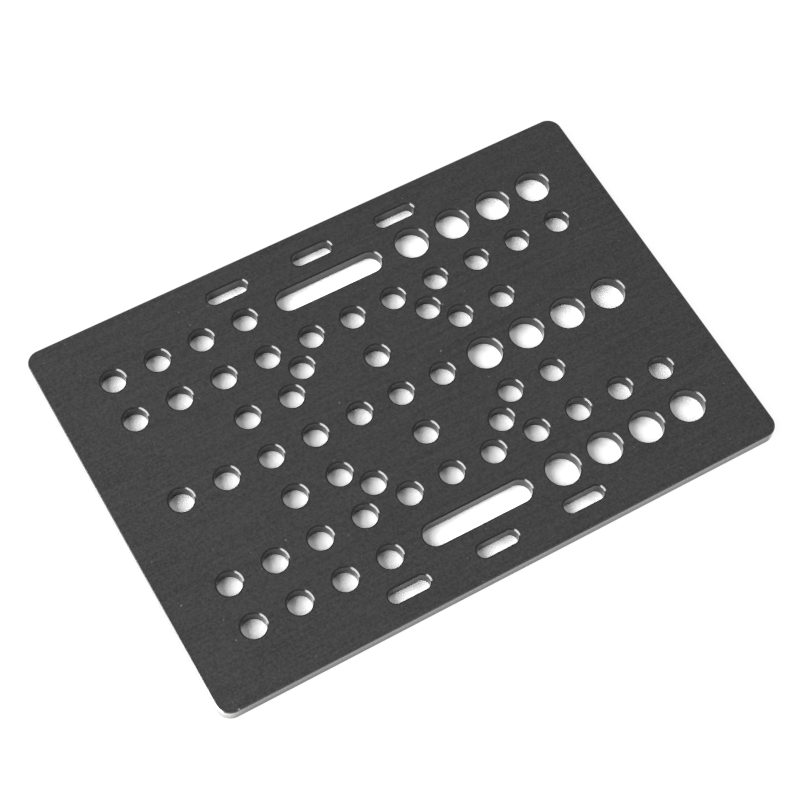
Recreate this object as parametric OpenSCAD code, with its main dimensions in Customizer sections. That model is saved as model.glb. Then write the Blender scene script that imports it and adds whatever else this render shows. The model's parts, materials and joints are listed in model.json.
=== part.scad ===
// Gantry plate for a wheeled carriage on slotted aluminium rail.
// One flat sheet of aluminium with rounded corners, cut through with columns of holes
// for fixed wheels on one side, larger holes for eccentric spacers on the other side,
// rows of screw holes, and slots. The outline's edges are lightly broken, and every opening
// has a narrow countersunk rim, on both faces.
// The plate lies on the XY plane with its middle over the origin, its length along X.

/* [Plate] */
// Length along X
plate_l = 127; // [112:1:200]
// Width along Y
plate_w = 88; // [86:1:140]
// Thickness of the sheet
plate_t = 3; // [2:0.1:8]
// Radius of the four corners
corner_r = 3; // [1:0.5:8]
// Width of the broken edge round the outline
edge_break = 0.15; // [0.05:0.05:0.4]

/* [Hole sizes] */
// Diameter of the screw holes, and width of the long slots
screw_d = 5.1; // [3:0.1:5.6]
// Diameter of the holes for the eccentric spacers
spacer_d = 7.2; // [5.2:0.1:8]
// Width of the countersunk rim round every opening
rim_w = 0.35; // [0.1:0.05:0.5]
// Slope of the countersunk rim, in degrees from the plate's face
rim_slope = 30; // [15:1:45]

/* [Columns] */
// Middle of the plate to the nearest column of wheel holes
wheel_x = 19.86; // [18:0.01:22]
// Step from one column of wheel holes to the next
wheel_pitch = 10; // [9:0.1:11.5]
// Columns of wheel holes on each side of the middle
wheel_columns = 4; // [2:1:4]
// Middle of the plate to the inner screw columns and to the end centres of the long slots
inner_x = 9.69; // [8:0.01:11]

/* [Rows] */
// Middle of the plate to the short rows of screw holes
short_row_y = 10; // [8:0.1:12]
// Middle of the plate to the full rows of screw holes
full_row_y = 20.32; // [18:0.01:22]
// Middle of the plate to the outer rows of wheel holes and the long slots
wheel_row_y = 30.32; // [28:0.01:31.5]
// Pitch circle of the four diagonal screw holes
ring_d = 42; // [38:0.5:44]

/* [Edge slots] */
// Width of the slots along the two long edges
edge_slot_w = 3.1; // [2:0.1:4.5]
// Distance between the end centres of one edge slot
edge_slot_run = 6; // [2:0.1:12]
// Step from one edge slot to the next
edge_slot_pitch = 20; // [16:0.1:30]
// Long edge of the plate to the middle line of its slots
edge_slot_inset = 6; // [4:0.1:7]

/* [Hidden] */
$fn = 96;
// How far a cutter reaches past each face
clear = 1;
// Columns that the short rows of screw holes use
short_row_columns = 2;
// Depth of the countersunk rim, and how far its cutter widens past each face
rim_depth = rim_w * tan(rim_slope);
rim_flare = clear / tan(rim_slope);
long_slot_run = 2 * inner_x;
edge_slot_y = plate_w / 2 - edge_slot_inset;
ring_x = ring_d / 2 * cos(45);
wheel_xs = [for (i = [0 : wheel_columns - 1]) wheel_x + i * wheel_pitch];
short_row_xs = [for (i = [0 : short_row_columns - 1]) wheel_xs[i]];

// Both signs of each distance in a list
function both_signs(xs) = concat([for (x = xs) -x], xs);

// Half of the plate's section: from the middle out to a broken edge at reach, bottom to top
function slab(reach) = [
    [0, 0],
    [reach - edge_break, 0],
    [reach, edge_break],
    [reach, plate_t - edge_break],
    [reach - edge_break, plate_t],
    [0, plate_t]
];

// Half of an opening's section: a straight wall at reach, with a countersunk rim at both faces
function mouth(reach) = [
    [0, -clear],
    [reach + rim_w + rim_flare, -clear],
    [reach, rim_depth],
    [reach, plate_t - rim_depth],
    [reach + rim_w + rim_flare, plate_t + clear],
    [0, plate_t + clear]
];

// A half section and its mirror image, as one closed outline
function whole(half) = concat(half, [for (i = [len(half) - 1 : -1 : 0]) [-half[i].x, half[i].y]]);

// A half section carried straight along X
module carry_x(half, length) {
    rotate([90, 0, 90])
        linear_extrude(length, center = true)
            polygon(whole(half));
}

// A half section spun about a vertical axis
module spin(half) {
    rotate_extrude()
        polygon(half);
}

// Rounded rectangle with broken edges: two crossing bars and a post in each corner
module blank() {
    carry_x(slab(plate_w / 2), plate_l - 2 * corner_r);
    rotate(90)
        carry_x(slab(plate_l / 2), plate_w - 2 * corner_r);
    for (sx = [-1, 1], sy = [-1, 1])
        translate([sx * (plate_l / 2 - corner_r), sy * (plate_w / 2 - corner_r), 0])
            spin(slab(corner_r));
}

// Round holes of one diameter in a row at y
module hole_row(xs, y, d) {
    for (x = xs)
        translate([x, y, 0])
            spin(mouth(d / 2));
}

// Slots of one width in a row at y, each along X with its end centres run apart
module slot_row(xs, y, width, run) {
    hole_row([for (x = xs, s = [-1, 1]) x + s * run / 2], y, width);
    for (x = xs)
        translate([x, y, 0])
            carry_x(mouth(width / 2), run);
}

// One row of wheel holes: screw holes on the fixed side, spacer holes on the eccentric side
module wheel_row(y) {
    hole_row(-wheel_xs, y, screw_d);
    hole_row(wheel_xs, y, spacer_d);
}

// What is cut on the middle line
module middle_openings() {
    wheel_row(0);
    hole_row([-inner_x, 0, inner_x], 0, screw_d);
}

// What is cut on one side of the middle line, with side giving its sign
module side_openings(side) {
    hole_row(concat([0], both_signs(short_row_xs)), side * short_row_y, screw_d);
    hole_row([-ring_x, ring_x], side * ring_x, screw_d);
    hole_row(concat([0], both_signs([inner_x]), both_signs(wheel_xs)), side * full_row_y, screw_d);
    wheel_row(side * wheel_row_y);
    slot_row([0], side * wheel_row_y, screw_d, long_slot_run);
    slot_row([-edge_slot_pitch, 0, edge_slot_pitch], side * edge_slot_y, edge_slot_w, edge_slot_run);
}

module gantry_plate() {
    color([0.16, 0.16, 0.17])
        difference() {
            blank();
            middle_openings();
            side_openings(1);
            side_openings(-1);
        }
}

gantry_plate();
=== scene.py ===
import json
import math

import bpy
import numpy as np
from mathutils import Matrix, Vector, geometry


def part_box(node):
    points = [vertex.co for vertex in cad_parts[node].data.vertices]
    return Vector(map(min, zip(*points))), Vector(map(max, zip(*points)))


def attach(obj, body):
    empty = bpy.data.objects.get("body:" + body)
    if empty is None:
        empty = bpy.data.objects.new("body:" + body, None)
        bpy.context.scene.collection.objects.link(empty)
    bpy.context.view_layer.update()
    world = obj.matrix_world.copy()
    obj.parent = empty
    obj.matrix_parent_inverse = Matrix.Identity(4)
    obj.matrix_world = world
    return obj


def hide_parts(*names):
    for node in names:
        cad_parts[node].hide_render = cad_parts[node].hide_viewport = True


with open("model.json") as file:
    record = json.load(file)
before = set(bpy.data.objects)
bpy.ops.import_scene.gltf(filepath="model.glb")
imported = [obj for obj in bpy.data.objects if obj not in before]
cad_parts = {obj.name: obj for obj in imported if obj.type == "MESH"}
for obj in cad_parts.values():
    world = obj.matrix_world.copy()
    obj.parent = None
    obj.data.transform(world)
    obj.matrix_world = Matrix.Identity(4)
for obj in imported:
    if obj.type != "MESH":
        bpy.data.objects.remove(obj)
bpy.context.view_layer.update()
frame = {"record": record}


# The gantry plate: one flat sheet of rolled aluminium, cut to a rounded rectangle and drilled, then
# etched satin and anodised black. It is a single piece, and lies flat on its back.
# The outline's edges are lightly broken, and each opening has a narrow countersunk rim, on both faces.
MM = 0.001
PLATE_NODE = "gantry_plate"
CORNER_RADIUS = 3.0 * MM
# Width of the slope, and its angle from the face.
EDGE_BREAK = (0.15 * MM, math.radians(45))
OPENING_RIM = (0.35 * MM, math.radians(30))
# Radius and points of the small arcs at both ends of a slope, and steps in a quarter of a round.
EDGE_BLEND = 0.06 * MM
BLEND_STEPS = 3
QUARTER_STEPS = 16
# Places closer than this are one place.
SAME_PLACE = 1e-6 * MM
CENTRE_DECIMALS = 7

low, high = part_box(PLATE_NODE)
plate_size = np.array(high - low)
plate_middle = np.array(low + high)[:2] / 2
mounts = {mount["name"]: mount for mount in frame["record"]["mounts"]}


def pattern_centres(mount):
    """Hole centres of a bolt pattern: its middle, plus and minus half of each spacing."""
    spacing = [mount["dims"].get(key, 0.0) * MM for key in ("spacing_x_mm", "spacing_y_mm")]
    signs = np.array([(-1, -1), (-1, 1), (1, -1), (1, 1)])
    centres = mount["pos_m"][:2] + signs * spacing / 2
    return np.unique(np.round(centres, CENTRE_DECIMALS), axis=0)


def rounded_loop(run, radius):
    """Closed path that keeps a radius from a rectangle of half sizes run.

    The angle goes once round in four quarters. A quarter's points are its corner of the rectangle
    plus the radius times the direction, so a run of zero both ways gives a circle, and a run of
    zero one way gives a slot. Points that fall together are kept once.
    """
    corners = np.repeat([(1, 1), (-1, 1), (-1, -1), (1, -1)], QUARTER_STEPS + 1, axis=0) * run
    turn = (np.arange(4)[:, None] + np.linspace(0, 1, QUARTER_STEPS + 1)).ravel() * math.pi / 2
    away = np.c_[np.cos(turn), np.sin(turn)]
    path = corners + radius * away
    kept = np.linalg.norm(path - np.roll(path, 1, axis=0), axis=1) > SAME_PLACE
    return path[kept], away[kept]


def broken_edge(width, slope):
    """Section of the sheet's edge, from its top face to its bottom face.

    A slope of a given width and angle from the face takes off the corner, and a small arc blends it
    into the face and another into the wall. The lower half mirrors the upper half. The columns are
    the depth behind the wall, the height, and the outward and upward parts of the surface's direction.
    """
    lead = width + EDGE_BLEND * math.tan(slope / 2)
    foot = width * math.tan(slope) + EDGE_BLEND * math.tan(math.pi / 4 - slope / 2)
    at_face = np.linspace(math.pi / 2, math.pi / 2 - slope, BLEND_STEPS)
    at_wall = np.linspace(math.pi / 2 - slope, 0, BLEND_STEPS)
    angle = np.r_[at_face, at_wall]
    depth = np.r_[lead - EDGE_BLEND * np.cos(at_face), EDGE_BLEND * (1 - np.cos(at_wall))]
    drop = np.r_[EDGE_BLEND * (1 - np.sin(at_face)), foot - EDGE_BLEND * np.sin(at_wall)]
    upper = np.c_[depth, plate_size[2] - drop, np.cos(angle), np.sin(angle)]
    lower = np.c_[depth, drop, np.cos(angle), -np.sin(angle)]
    return np.vstack([upper, lower[::-1]])


def carried_edge(centre, path, away, section, material_side):
    """A section carried round one closed path, as a grid of points and directions.

    A point is the path's point, moved into the material by the section's depth, at the section's
    height. material_side is -1 where the material lies inside the path and 1 where it is outside.
    """
    depth, height, outward, upward = section.T
    across = path[:, None] + material_side * away[:, None] * depth[:, None] + centre
    points = np.concatenate([across, np.broadcast_to(height[:, None], across.shape[:2] + (1,))], axis=2)
    sideways = -material_side * away[:, None] * outward[:, None]
    facing = np.concatenate([sideways, np.broadcast_to(upward[:, None], sideways.shape[:2] + (1,))], axis=2)
    return points, facing


def edge_faces(count, rows, first, material_side):
    """Four-sided faces between neighbouring points of a carried edge, closed round its path."""
    here = np.arange(count)[:, None] * rows + np.arange(rows - 1)
    there = np.roll(here, -1, axis=0)
    quads = np.stack([here, here + 1, there + 1, there], axis=2).reshape(-1, 4) + first
    return quads if material_side < 0 else quads[:, ::-1]


# An opening is a radius and half the run between its round ends, which is zero for a hole. A long slot is
# as wide as a screw hole, and its ends are as far apart as the middle row's pair of holes.
pair_dims = mounts["middle_row_pair"]["dims"]
long_slot = (pair_dims["hole_r_mm"] * MM, pair_dims["spacing_x_mm"] * MM / 2)
openings = {}
for name, mount in mounts.items():
    if mount["kind"] == "bolt_pattern":
        radius = mount["dims"]["hole_r_mm"] * MM
        run = max(mount["dims"].get("slot_length_mm", 0.0) * MM / 2 - radius, 0.0)
        openings.update({tuple(centre): (radius, run) for centre in pattern_centres(mount)})
    elif name.startswith("long_slot"):
        openings[tuple(mount["pos_m"][:2])] = long_slot

outline = rounded_loop(plate_size[:2] / 2 - CORNER_RADIUS, CORNER_RADIUS)
edges = [(plate_middle, *outline, broken_edge(*EDGE_BREAK), -1)]
for centre, (radius, run) in openings.items():
    edges.append((np.array(centre), *rounded_loop((run, 0.0), radius), broken_edge(*OPENING_RIM), 1))

rows = 4 * BLEND_STEPS
grids = [carried_edge(*edge) for edge in edges]
counts = np.array([len(edge[1]) for edge in edges])
starts = np.concatenate([[0], np.cumsum(counts)[:-1]])
points = np.concatenate([grid.reshape(-1, 3) for grid, _ in grids])
facing = np.concatenate([grid.reshape(-1, 3) for _, grid in grids])
walls = np.concatenate([edge_faces(count, rows, start * rows, edge[-1])
                        for count, start, edge in zip(counts, starts, edges)])

# The flat faces span the rims: one triangulation of the top rims, which leaves the openings open, is used
# for both faces.
INSIDE_WITH_HOLES = 2
rim = np.arange(len(points) // rows) * rows
rim_points = [Vector(point) for point in points[rim, :2] / MM]
rim_loops = [list(range(start, start + count)) for count, start in zip(counts, starts)]
_, _, triangles, sources, _, _ = geometry.delaunay_2d_cdt(
    rim_points, [], rim_loops, INSIDE_WITH_HOLES, SAME_PLACE / MM)
rim_order = np.array([source[0] for source in sources])
top_faces = rim[rim_order[np.array(triangles)]]
bottom_faces = top_faces[:, ::-1] + rows - 1

plate_mesh = bpy.data.meshes.new("gantry_plate_sheet")
plate_mesh.from_pydata(points + [0, 0, low.z], [],
                       walls.tolist() + top_faces.tolist() + bottom_faces.tolist())
plate_mesh.validate()
plate_mesh.shade_smooth()
plate_mesh.normals_split_custom_set_from_vertices(facing)

# For the finish: how far the surface leans, which is 0 on the flat faces, up to a half on the slopes and
# 1 on the walls, and whether a point is on the outline's edge.
lean = np.arctan2(np.linalg.norm(facing[:, :2], axis=1), np.abs(facing[:, 2])) / (math.pi / 2)
on_outline = np.zeros(len(points))
on_outline[:counts[0] * rows] = 1
for name, values in (("lean", lean), ("on_outline", on_outline)):
    plate_mesh.attributes.new(name, "FLOAT", "POINT").data.foreach_set("value", values)
plate = bpy.data.objects.new("gantry_plate_sheet", plate_mesh)
bpy.context.scene.collection.objects.link(plate)


class Finish:
    """A value in a node tree, held as the socket that gives it.

    Operators on values add Math nodes, and node adds a node of any other type.
    """

    def __init__(self, tree, socket=None):
        self.tree = tree
        self.socket = socket

    def node(self, kind, settings=None, sockets=None, output=0):
        """A new node: its settings first, then its sockets' values or links. Gives one output."""
        made = self.tree.nodes.new(kind)
        for name, value in (settings or {}).items():
            setattr(made, name, value)
        for name, value in (sockets or {}).items():
            if isinstance(value, Finish):
                self.tree.links.new(value.socket, made.inputs[name])
            else:
                made.inputs[name].default_value = value
        return Finish(self.tree, made.outputs[output] if made.outputs else None)

    def math(self, operation, first, second=0.0):
        """A Math node on one or two values."""
        return self.node("ShaderNodeMath", {"operation": operation}, {0: first, 1: second})

    def __add__(self, other):
        return self.math("ADD", self, other)

    __radd__ = __add__

    def __mul__(self, other):
        return self.math("MULTIPLY", self, other)

    __rmul__ = __mul__

    def __sub__(self, other):
        return self.math("SUBTRACT", self, other)

    def __rsub__(self, other):
        return self.math("SUBTRACT", other, self)

    def ease(self, start, end):
        """0 before start and 1 after end, with a smooth step between them."""
        return self.node("ShaderNodeMapRange", {"interpolation_type": "SMOOTHSTEP"},
                         {"Value": self, "From Min": start, "From Max": end})

    def mix(self, first, second):
        """The first colour where this value is 0, the second where it is 1, and a blend between.

        A Mix node's colours are its sockets 6 and 7, and its output 2.
        """
        return self.node("ShaderNodeMix", {"data_type": "RGBA"},
                         {"Factor": self, 6: first, 7: second}, output=2)


black_anodised = bpy.data.materials.new("black_anodised")
black_anodised.use_nodes = True
black_anodised.node_tree.nodes.clear()
sheet = Finish(black_anodised.node_tree)
place = sheet.node("ShaderNodeVectorMath", {"operation": "SCALE"},
                   {0: sheet.node("ShaderNodeTexCoord", output="Object"), "Scale": 1 / MM})
along, across, height = (sheet.node("ShaderNodeSeparateXYZ", sockets={0: place}, output=axis)
                         for axis in "XYZ")

# The lean at which a face turns into a slope, and a slope into a wall.
SLOPE_LEAN = (0.1, 0.3)
WALL_LEAN = (0.6, 0.85)
leaning = sheet.node("ShaderNodeAttribute", {"attribute_name": "lean"}, output="Fac")
outside = sheet.node("ShaderNodeAttribute", {"attribute_name": "on_outline"}, output="Fac")
on_edge = leaning.ease(*SLOPE_LEAN)
on_wall = leaning.ease(*WALL_LEAN)
on_slope = on_edge * (1 - on_wall)

# The black of the face: a fine etched grain, streaks from the rolling along X, and faint wide clouds.
# Grains are in millimetres, and each moves the shade between the two blacks by its own share.
BLACK = (0.020, 0.020, 0.0205, 1)
BLACK_LIGHT = (0.070, 0.070, 0.071, 1)
ETCH_GRAIN = (0.45, 0.45, 0.45)
STREAK_GRAIN = (16.0, 0.4, 0.4)
CLOUD_GRAIN = (22.0, 14.0, 14.0)
FINE_DETAIL = 2.0
SOFT_DETAIL = 1.0
MIDDLE_SHADE = 0.47
ETCH_SHADE = 1.2
STREAK_SHADE = 0.48
CLOUD_SHADE = 0.1


def mottle(grain, detail):
    """Noise about zero, from -0.5 to 0.5, with grains of a size in millimetres along X, Y and Z."""
    stretched = sheet.node("ShaderNodeVectorMath", {"operation": "DIVIDE"}, {0: place, 1: grain})
    noise = sheet.node("ShaderNodeTexNoise", sockets={"Vector": stretched, "Scale": 1.0, "Detail": detail})
    return noise - 0.5


etch = mottle(ETCH_GRAIN, FINE_DETAIL)
streaks = mottle(STREAK_GRAIN, FINE_DETAIL)
clouds = mottle(CLOUD_GRAIN, SOFT_DETAIL)
shade = MIDDLE_SHADE + ETCH_SHADE * etch + STREAK_SHADE * streaks + CLOUD_SHADE * clouds
black = shade.mix(BLACK, BLACK_LIGHT)

# Dust on the face: each cell of a loose grid draws a luck from 0 to 1, which leaves it clean or gives it a
# small speck or a larger one. The pitch is in millimetres, and a speck's radius is a share of the pitch.
SPECK = (0.36, 0.36, 0.35, 1)
DUST_PITCH = 6.0
SMALL_SPECK = 0.03
SMALL_SPECK_LUCK = (0.55, 0.85)
LARGER_BY = 0.015
LARGER_SPECK_LUCK = (0.92, 1.02)
SPECK_SHARPNESS = 14.0


def dust(output):
    """One output of the loose grid: the distance to the nearest speck, or its cell's random colour."""
    return sheet.node("ShaderNodeTexVoronoi", {"voronoi_dimensions": "2D"},
                      {"Vector": place, "Scale": 1 / DUST_PITCH}, output=output)


luck = sheet.node("ShaderNodeSeparateColor", sockets={0: dust("Color")})
speck_radius = SMALL_SPECK * luck.ease(*SMALL_SPECK_LUCK) + LARGER_BY * luck.ease(*LARGER_SPECK_LUCK)
dusty = SPECK_SHARPNESS * (speck_radius - dust("Distance"))
dusted = dusty.mix(black, SPECK)

# The edges: cut smooth and dyed deeper. The outline's sides are painted lighter, most towards the top: a
# painted reflection of the white floor, with painted shade near the foot. The left end, which faces the
# left lamp, is painted lighter still, and its slope most near the near corner: painted light on the lamp's
# side, and wear at the near corner, where a small nick shows too. Reaches are in millimetres from the left
# end, a span from the near side, and the nick's place from the near left corner of the top.
EDGE_BLACK = (0.012, 0.012, 0.0125, 1)
# Light grey for the nick's wear, and for the painted reflection and painted light on the outline's sides.
BARE_AND_SHEEN = (0.6, 0.6, 0.59, 1)
SIDE_SHEEN_AT_FOOT = 0.03
SIDE_SHEEN_RISE = 0.32
SIDE_SHEEN_HEIGHT = (0.3, 2.8)
SIDE_SHEEN_SPARED_ON_SLOPE = 0.6
END_WALL_LIGHT_AND_WEAR = 0.4
END_WALL_LIGHT_REACH = (0.2, 6.5)
END_SLOPE_LIGHT_AND_WEAR = 0.55
END_SLOPE_LIGHT_REACH = (0.2, 0.7)
END_SLOPE_LIGHT_SPAN = (4.0, 44.0)
NICK_WEAR = 0.35
NICK_PLACE = Vector((3.4, 0.25, 0.0))
NICK_REACH = (0.1, 0.35)

near_left_top = Vector((low.x, low.y, high.z)) / MM
from_left = along - near_left_top.x
from_near = across - near_left_top.y
from_nick = sheet.node("ShaderNodeVectorMath", {"operation": "DISTANCE"},
                       {0: place, 1: near_left_top + NICK_PLACE}, output="Value")
# Painted reflection on the outline's sides: lighter towards the top, standing in for the white floor they
# mirror.
side_sheen = (SIDE_SHEEN_AT_FOOT + SIDE_SHEEN_RISE * height.ease(*SIDE_SHEEN_HEIGHT)) * (1 - SIDE_SHEEN_SPARED_ON_SLOPE * on_slope)
# The left end faces the left lamp: its wall and slope are painted lighter, painted light and a painted
# highlight on that side, with wear towards the near corner.
lit_and_worn_end_wall = END_WALL_LIGHT_AND_WEAR * (1 - on_slope) * (1 - from_left.ease(*END_WALL_LIGHT_REACH))
lit_and_worn_end = END_SLOPE_LIGHT_AND_WEAR * on_slope * (1 - from_left.ease(*END_SLOPE_LIGHT_REACH))
lit_and_worn_slope = lit_and_worn_end * (1 - from_near.ease(*END_SLOPE_LIGHT_SPAN))
# Painted reflection and painted light on the outline's sides, with wear towards the near left corner.
sheen_and_wear = outside * on_edge * (side_sheen + lit_and_worn_end_wall + lit_and_worn_slope)
nicked = NICK_WEAR * (1 - from_nick.ease(*NICK_REACH))
edged = on_edge.mix(dusted, EDGE_BLACK)
colour = nicked.mix(sheen_and_wear.mix(edged, BARE_AND_SHEEN), BARE_AND_SHEEN)

# The gloss: satin on the etched face, smoother on the slopes and smoothest on the walls. The slopes keep
# a hard clear film, and the etching leaves a shallow relief on the face.
FACE_ROUGHNESS = 0.34
SLOPE_SMOOTHER_BY = 0.16
WALL_SMOOTHER_BY = 0.22
ETCH_ROUGHNESS = 0.1
STREAK_ROUGHNESS = 0.05
RELIEF_STRENGTH = 0.05
RELIEF_DEPTH = 0.02 * MM
SHEET_IOR = 1.5
FILM_WEIGHT = 0.9
FILM_ROUGHNESS = 0.14
FILM_IOR = 1.95

roughness = (FACE_ROUGHNESS - SLOPE_SMOOTHER_BY * on_slope - WALL_SMOOTHER_BY * on_wall
             + ETCH_ROUGHNESS * etch + STREAK_ROUGHNESS * streaks)
relief = sheet.node("ShaderNodeBump", sockets={"Strength": RELIEF_STRENGTH, "Distance": RELIEF_DEPTH,
                                               "Height": (etch + streaks) * (1 - on_edge)})
surface = sheet.node("ShaderNodeBsdfPrincipled",
                     sockets={"Base Color": colour, "Roughness": roughness, "Normal": relief,
                              "IOR": SHEET_IOR, "Coat Weight": FILM_WEIGHT * on_slope,
                              "Coat Roughness": FILM_ROUGHNESS, "Coat IOR": FILM_IOR})
sheet.node("ShaderNodeOutputMaterial", sockets={"Surface": surface})

plate_mesh.materials.append(black_anodised)
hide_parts(PLATE_NODE)
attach(plate, "root")


# The studio floor: a round of white paper laid flat, far out past the plate on every side.
# The camera and glossy surfaces see it bright, and it keeps the plate's shadow.
FLOOR_REACH = 3.0
FLOOR_SIDES = 64
FLOOR_DROP = 0.02 * MM
FLOOR_WHITE = (0.9, 0.9, 0.9, 1)
FLOOR_SHOWN = (1.65, 1.65, 1.65, 1)
WHITE = (1, 1, 1, 1)
# How far past the plate's sides the paper turns white by itself, nearly so at first and fully further out.
FLOOR_OPEN = 0.93
OPEN_PAST = (-2.0 * MM, -0.5 * MM)
WHITE_PAST = (100 * MM, 400 * MM)

turn = np.linspace(0, 2 * math.pi, FLOOR_SIDES, endpoint=False)
floor_rim = np.c_[FLOOR_REACH * np.cos(turn), FLOOR_REACH * np.sin(turn), np.full(FLOOR_SIDES, -FLOOR_DROP)]
floor_mesh = bpy.data.meshes.new("floor")
floor_mesh.from_pydata(floor_rim, [], [range(FLOOR_SIDES)])
floor = bpy.data.objects.new("floor", floor_mesh)
bpy.context.scene.collection.objects.link(floor)

white_paper = bpy.data.materials.new("white_paper")
white_paper.use_nodes = True
white_paper.node_tree.nodes.clear()
paper = Finish(white_paper.node_tree)
camera_ray, glossy_ray, transmission_ray = (paper.node("ShaderNodeLightPath", output=f"Is {kind} Ray")
                                            for kind in ("Camera", "Glossy", "Transmission"))
seen = camera_ray + glossy_ray + transmission_ray
spot = paper.node("ShaderNodeTexCoord", output="Object")
past_end, past_side = (
    paper.math("ABSOLUTE", paper.node("ShaderNodeSeparateXYZ", sockets={0: spot}, output=axis)) - half
    for axis, half in zip("XY", plate_size / 2))
past_plate = paper.math("MAXIMUM", past_end, past_side)
whiteness = FLOOR_OPEN + (1 - FLOOR_OPEN) * past_plate.ease(*WHITE_PAST)
open_floor = past_plate.ease(*OPEN_PAST) * whiteness
lit = paper.node("ShaderNodeBsdfDiffuse", sockets={"Color": FLOOR_WHITE})
shown = paper.node("ShaderNodeBsdfDiffuse", sockets={"Color": FLOOR_SHOWN})
glow = paper.node("ShaderNodeEmission", sockets={"Color": WHITE, "Strength": 1.0})
backdrop = paper.node("ShaderNodeMixShader", sockets={0: open_floor, 1: shown, 2: glow})
floor_surface = paper.node("ShaderNodeMixShader", sockets={0: seen, 1: lit, 2: backdrop})
paper.node("ShaderNodeOutputMaterial", sockets={"Surface": floor_surface})
floor_mesh.materials.append(white_paper)


# The light: a wide soft lamp high on the left and a low one under it, in a dim room.
# A weak one on the right fills the shadows, and leaves no glint on the plate.
# The camera sees white past the floor's rim.
ROOM_LIGHT = 0.18
LAMP_DISTANCE = 1.5
# Degrees round from the left end towards the far side, degrees up, width and height, watts, and whether
# glossy surfaces show the lamp.
LAMPS = {
    "left_lamp": (13.0, 42.0, (1.35, 1.15), 26.5, True),
    "low_lamp": (-6.0, 12.0, (1.0, 0.45), 28.0, True),
    "right_lamp": (180.0, 43.0, (0.5, 0.5), 4.0, False),
}

room = bpy.data.worlds.new("room")
bpy.context.scene.world = room
room.use_nodes = True
room.node_tree.nodes.clear()
air = Finish(room.node_tree)
dim = air.node("ShaderNodeBackground", sockets={"Color": WHITE, "Strength": ROOM_LIGHT})
bright = air.node("ShaderNodeBackground", sockets={"Color": WHITE, "Strength": 1.0})
room_seen = air.node("ShaderNodeLightPath", output="Is Camera Ray")
room_surface = air.node("ShaderNodeMixShader", sockets={0: room_seen, 1: dim, 2: bright})
air.node("ShaderNodeOutputWorld", sockets={"Surface": room_surface})

for name, (azimuth, elevation, size, power, mirrored) in LAMPS.items():
    around, above = math.radians(azimuth), math.radians(elevation)
    way = Vector((-math.cos(above) * math.cos(around), math.cos(above) * math.sin(around), math.sin(above)))
    lamp_data = bpy.data.lights.new(name, "AREA")
    lamp_data.shape = "RECTANGLE"
    lamp_data.size, lamp_data.size_y = size
    lamp_data.energy = power
    lamp = bpy.data.objects.new(name, lamp_data)
    lamp.location = way * LAMP_DISTANCE
    lamp.rotation_euler = way.to_track_quat("Z", "Y").to_euler()
    lamp.visible_camera = False
    lamp.visible_glossy = mirrored
    bpy.context.scene.collection.objects.link(lamp)


# The camera: a long lens above the plate's near left corner, held a little off level.
# It is aimed at the top face, close to the plate's middle.
CAMERA_AIM = Vector((-1.05 * MM, -1.21 * MM, high.z))
CAMERA_DISTANCE = 419.877 * MM
CAMERA_AZIMUTH = math.radians(-34.0963)
CAMERA_ELEVATION = math.radians(61.7807)
CAMERA_ROLL = math.radians(4.8892)
CAMERA_SENSOR_MM = 36.0
CAMERA_LENS_MM = 93.297
CAMERA_NEAREST = 10 * MM

camera_data = bpy.data.cameras.new("camera")
camera_data.sensor_width = CAMERA_SENSOR_MM
camera_data.lens = CAMERA_LENS_MM
camera_data.clip_start = CAMERA_NEAREST
camera = bpy.data.objects.new("camera", camera_data)
back = Vector((math.sin(CAMERA_AZIMUTH) * math.cos(CAMERA_ELEVATION),
               -math.cos(CAMERA_AZIMUTH) * math.cos(CAMERA_ELEVATION),
               math.sin(CAMERA_ELEVATION)))
camera.matrix_world = (Matrix.Translation(CAMERA_AIM + back * CAMERA_DISTANCE)
                       @ (-back).to_track_quat("-Z", "Y").to_matrix().to_4x4()
                       @ Matrix.Rotation(CAMERA_ROLL, 4, "Z"))
bpy.context.scene.collection.objects.link(camera)
bpy.context.scene.camera = camera

bpy.context.scene.view_settings.view_transform = "Standard"
